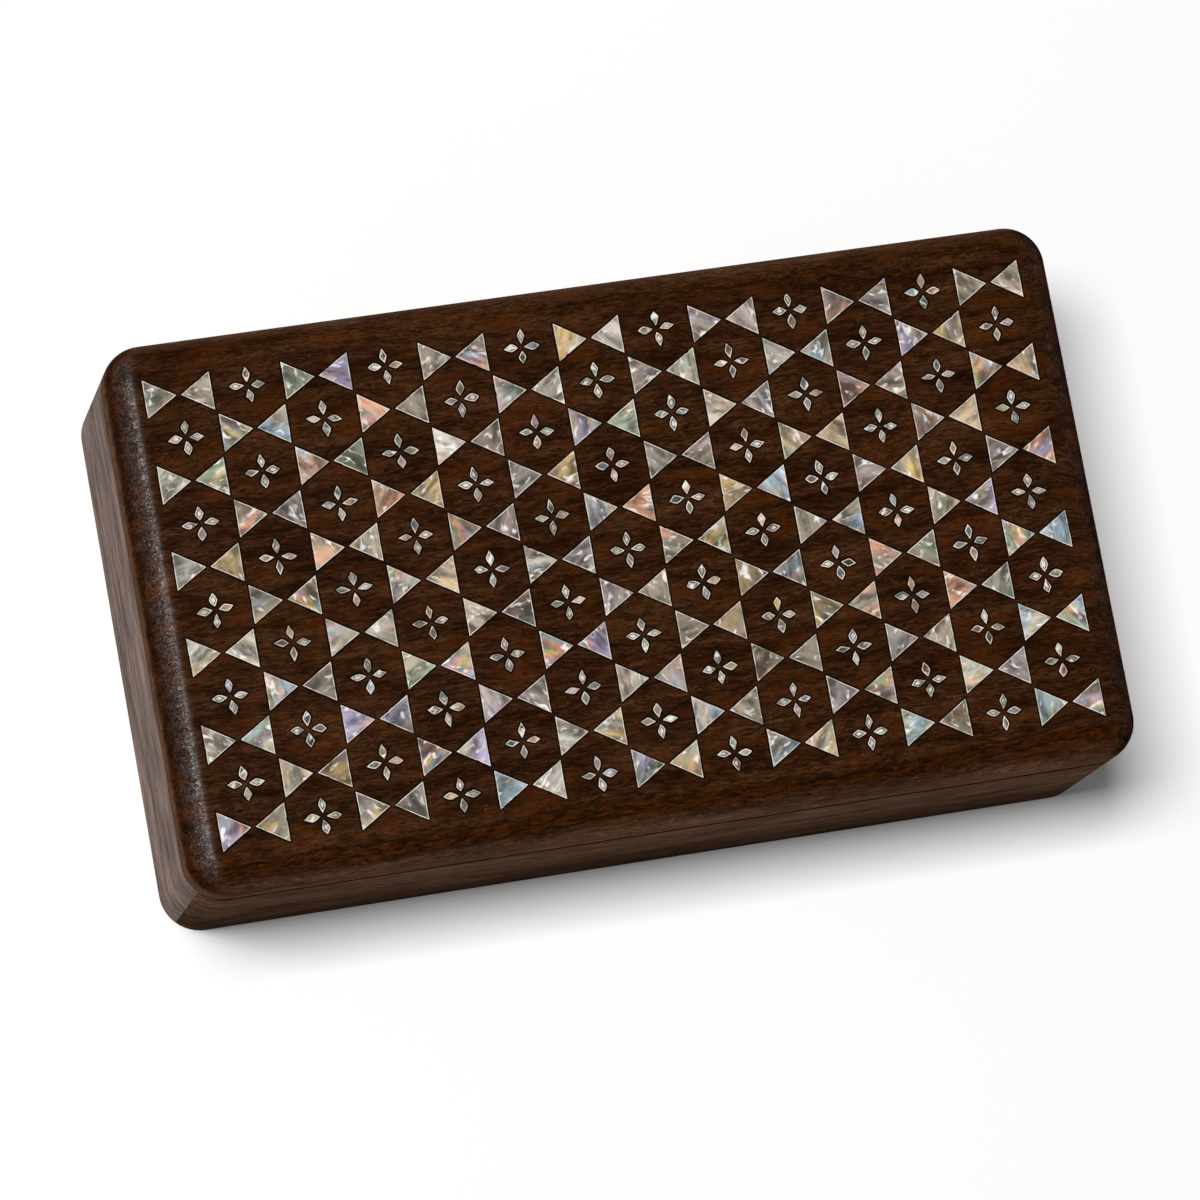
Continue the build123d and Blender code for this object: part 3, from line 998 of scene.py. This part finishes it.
def screw(name, body, centre, facing, rng):
    """Countersunk brass wood screw, its slot left at any angle by the driver."""
    profile = [(SCREW_HEAD - HEAD_ARRIS, HEAD_SUNK), (SCREW_HEAD, HEAD_EDGE), (SCREW_SHANK, HEAD_DEPTH),
               (SCREW_SHANK * SCREW_TAPER[0], SCREW_LENGTH * SCREW_TAPER[1]), (SCREW_POINT, SCREW_LENGTH)]
    piece = new_piece(name, turned(profile, centre, facing), body, "brass")
    slot = block((-2 * SCREW_HEAD, -SLOT_WIDTH / 2, -SLOT_DEPTH),
                 (2 * SCREW_HEAD, SLOT_WIDTH / 2, SLOT_DEPTH))
    turn = Matrix.Rotation(rng.uniform(0, pi), 4, "Z")
    bmesh.ops.transform(slot, matrix=Matrix.Translation(centre) @ turn, verts=slot.verts)
    cut(piece, [slot])
    shade(piece, CREASE)


def hinge_leaves(node, body, facing):
    """The CAD leaves of both hinges drilled and countersunk, with their screws."""
    low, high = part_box(node)
    plate_back = 2 * axis_y - high.y
    rng = Random(DRILLING_SEEDS[body])
    piece = new_piece(node + "_drilled", cad_mesh(node), body, "brass", [node])
    centres = [Vector(((start + end) / 2 + side * SCREW_SPREAD, (low.y + plate_back) / 2, axis_z))
               for start, end in hinge_spans() for side in (-1, 1)]
    hole = [(SCREW_HEAD + SCREW_FIT, -CLEAR), (SCREW_HEAD + SCREW_FIT, HEAD_EDGE),
            (SCREW_SHANK + SCREW_FIT, HEAD_DEPTH), (SCREW_SHANK + SCREW_FIT, HOLE_DEPTH)]
    cut(piece, [turned(hole, centre, facing) for centre in centres])
    shade(piece, CREASE)
    for number, centre in enumerate(centres):
        screw(f"hinge_screw_{body}_{number + 1}", body, centre, facing, rng)


hinge_leaves("hinge_base_leaves", "base", 1)
hinge_leaves("hinge_lid_leaves", "lid", -1)


# -------------------------------------------------------------------- linings

def round_edge(place, half, radius):
    """Height of a rounded edge, from 1 in the middle of a span to 0 at its end."""
    past = max(0.0, abs(place) - (half - radius)) / radius
    return sqrt(max(0.0, 1 - past * past))


def spread(half, radius):
    """Places across a span, closer together over its rounded edges."""
    count = round(2 * (half - radius) / CARD_CELL)
    inner = [(2 * i / count - 1) * (half - radius) for i in range(count + 1)]
    edge = [half - radius + radius * sin(radians(angle)) for angle in CARD_EDGE]
    return [-place for place in reversed(edge)] + inner + edge


def sag(u, v, seed):
    """How far the cloth dips at a place on its card."""
    broad = noise.noise(Vector((u / MM * SAG_WAVES[0], v / MM * SAG_WAVES[0], seed)))
    small = noise.noise(Vector((u / MM * SAG_WAVES[1], v / MM * SAG_WAVES[1], seed + SMALL_WAVE_SEED)))
    return CARD_SAG * (SAG_SHARES[0] + SAG_SHARES[1] * broad + SAG_SHARES[2] * small)


def drawn_in(place, half, beside, half_beside):
    """A place across a card, pulled in most of all halfway between the corners."""
    return place * (1 - CARD_PULL / half * (1 - (beside / half_beside) ** 2))


def lining(node, body, axes, seed):
    """Velvet over a card: crowned, with rounded edges, and its sides drawn in between the corners.

    axes are the numbers of the two long axes and the thin one.
    """
    low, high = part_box(node)
    middle, half = (low + high) / 2, (high - low) / 2
    long_axis, short_axis, thin = axes
    half_u, half_v, half_thin = half[long_axis], half[short_axis], half[thin]
    us, vs = spread(half_u, half_thin), spread(half_v, half_thin)
    bm = bmesh.new()
    for side in (-1, 1):
        rows = []
        for u in us:
            row = []
            for v in vs:
                cover = round_edge(u, half_u, half_thin) * round_edge(v, half_v, half_thin)
                place = middle.copy()
                place[long_axis] += drawn_in(u, half_u, v, half_v)
                place[short_axis] += drawn_in(v, half_v, u, half_u)
                place[thin] += side * cover * (half_thin - sag(u, v, seed))
                row.append(bm.verts.new(place))
            rows.append(row)
        for first, second in zip(rows, rows[1:]):
            for i in range(len(vs) - 1):
                bm.faces.new((first[i], first[i + 1], second[i + 1], second[i]))
    bmesh.ops.remove_doubles(bm, verts=bm.verts, dist=MERGE)
    piece = new_piece("velvet_" + node, bm, body, "velvet", [node], CLOTH_CREASE)


LINING_AXES = {"floor_lining": (0, 1, 2), "lid_lining": (0, 1, 2), "front_lining": (0, 2, 1),
               "back_lining": (0, 2, 1), "left_lining": (1, 2, 0), "right_lining": (1, 2, 0)}
for number, (node, axes) in enumerate(LINING_AXES.items()):
    lining(node, "lid" if node == "lid_lining" else "base", axes, 1.0 + number)


# ------------------------------------------------- pieces that keep their CAD mesh

KEPT = {"front_wall": "wall_wood", "back_wall": "wall_wood", "left_wall": "side_wood",
        "right_wall": "side_wood", "bottom_panel": "panel_wood", "hinge_pins": "brass"}
for node, material in KEPT.items():
    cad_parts[node].material_slots[0].material = finish[material]


# ---------------------------------------------------------------------- studio

def lay_floor():
    """The white sweep that the box stands on."""
    bm = bmesh.new()
    bmesh.ops.create_grid(bm, x_segments=FLOOR_CELLS, y_segments=FLOOR_CELLS, size=FLOOR_REACH)
    floor = in_scene("studio_floor", mesh_of("studio_floor", bm))
    floor.data.materials.append(floor_finish())


def softbox():
    """The one lamp, high above, a little to the left and to the back."""
    lamp = bpy.data.lights.new("softbox", "AREA")
    lamp.shape = "RECTANGLE"
    lamp.size, lamp.size_y = SOFTBOX_SIZE
    lamp.energy = SOFTBOX_POWER
    left, back = SOFTBOX_LEAN
    in_scene("softbox", lamp).location = (-left * SOFTBOX_HEIGHT, back * SOFTBOX_HEIGHT, SOFTBOX_HEIGHT)


def sky():
    """Dim light from all round, white wherever the camera sees it."""
    g = Graph(bpy.data.worlds.new("studio_sky"), "OutputWorld")
    strength = g.between(g.white_rays(), SKY, 1.0)
    bpy.context.scene.world = g.ended(g.node("Background", {"Strength": strength}).outputs[0])


def camera():
    """The camera, which looks down from the front left and is rolled."""
    data = bpy.data.cameras.new("camera")
    data.lens = CAMERA_LENS
    data.sensor_width = CAMERA_SENSOR
    data.clip_end = CAMERA_REACH
    made = in_scene("camera", data)
    turn, rise = radians(CAMERA_AZIMUTH), radians(CAMERA_ELEVATION)
    back = Vector((sin(turn) * cos(rise), -cos(turn) * cos(rise), sin(rise)))
    made.location = Vector(CAMERA_AIM) + back * CAMERA_DISTANCE
    unrolled = (-back).to_track_quat("-Z", "Y")
    made.rotation_mode = "QUATERNION"
    made.rotation_quaternion = unrolled @ Quaternion((0, 0, 1), radians(CAMERA_ROLL))
    bpy.context.scene.camera = made


lay_floor()
softbox()
sky()
camera()
bpy.context.scene.view_settings.view_transform = "Standard"
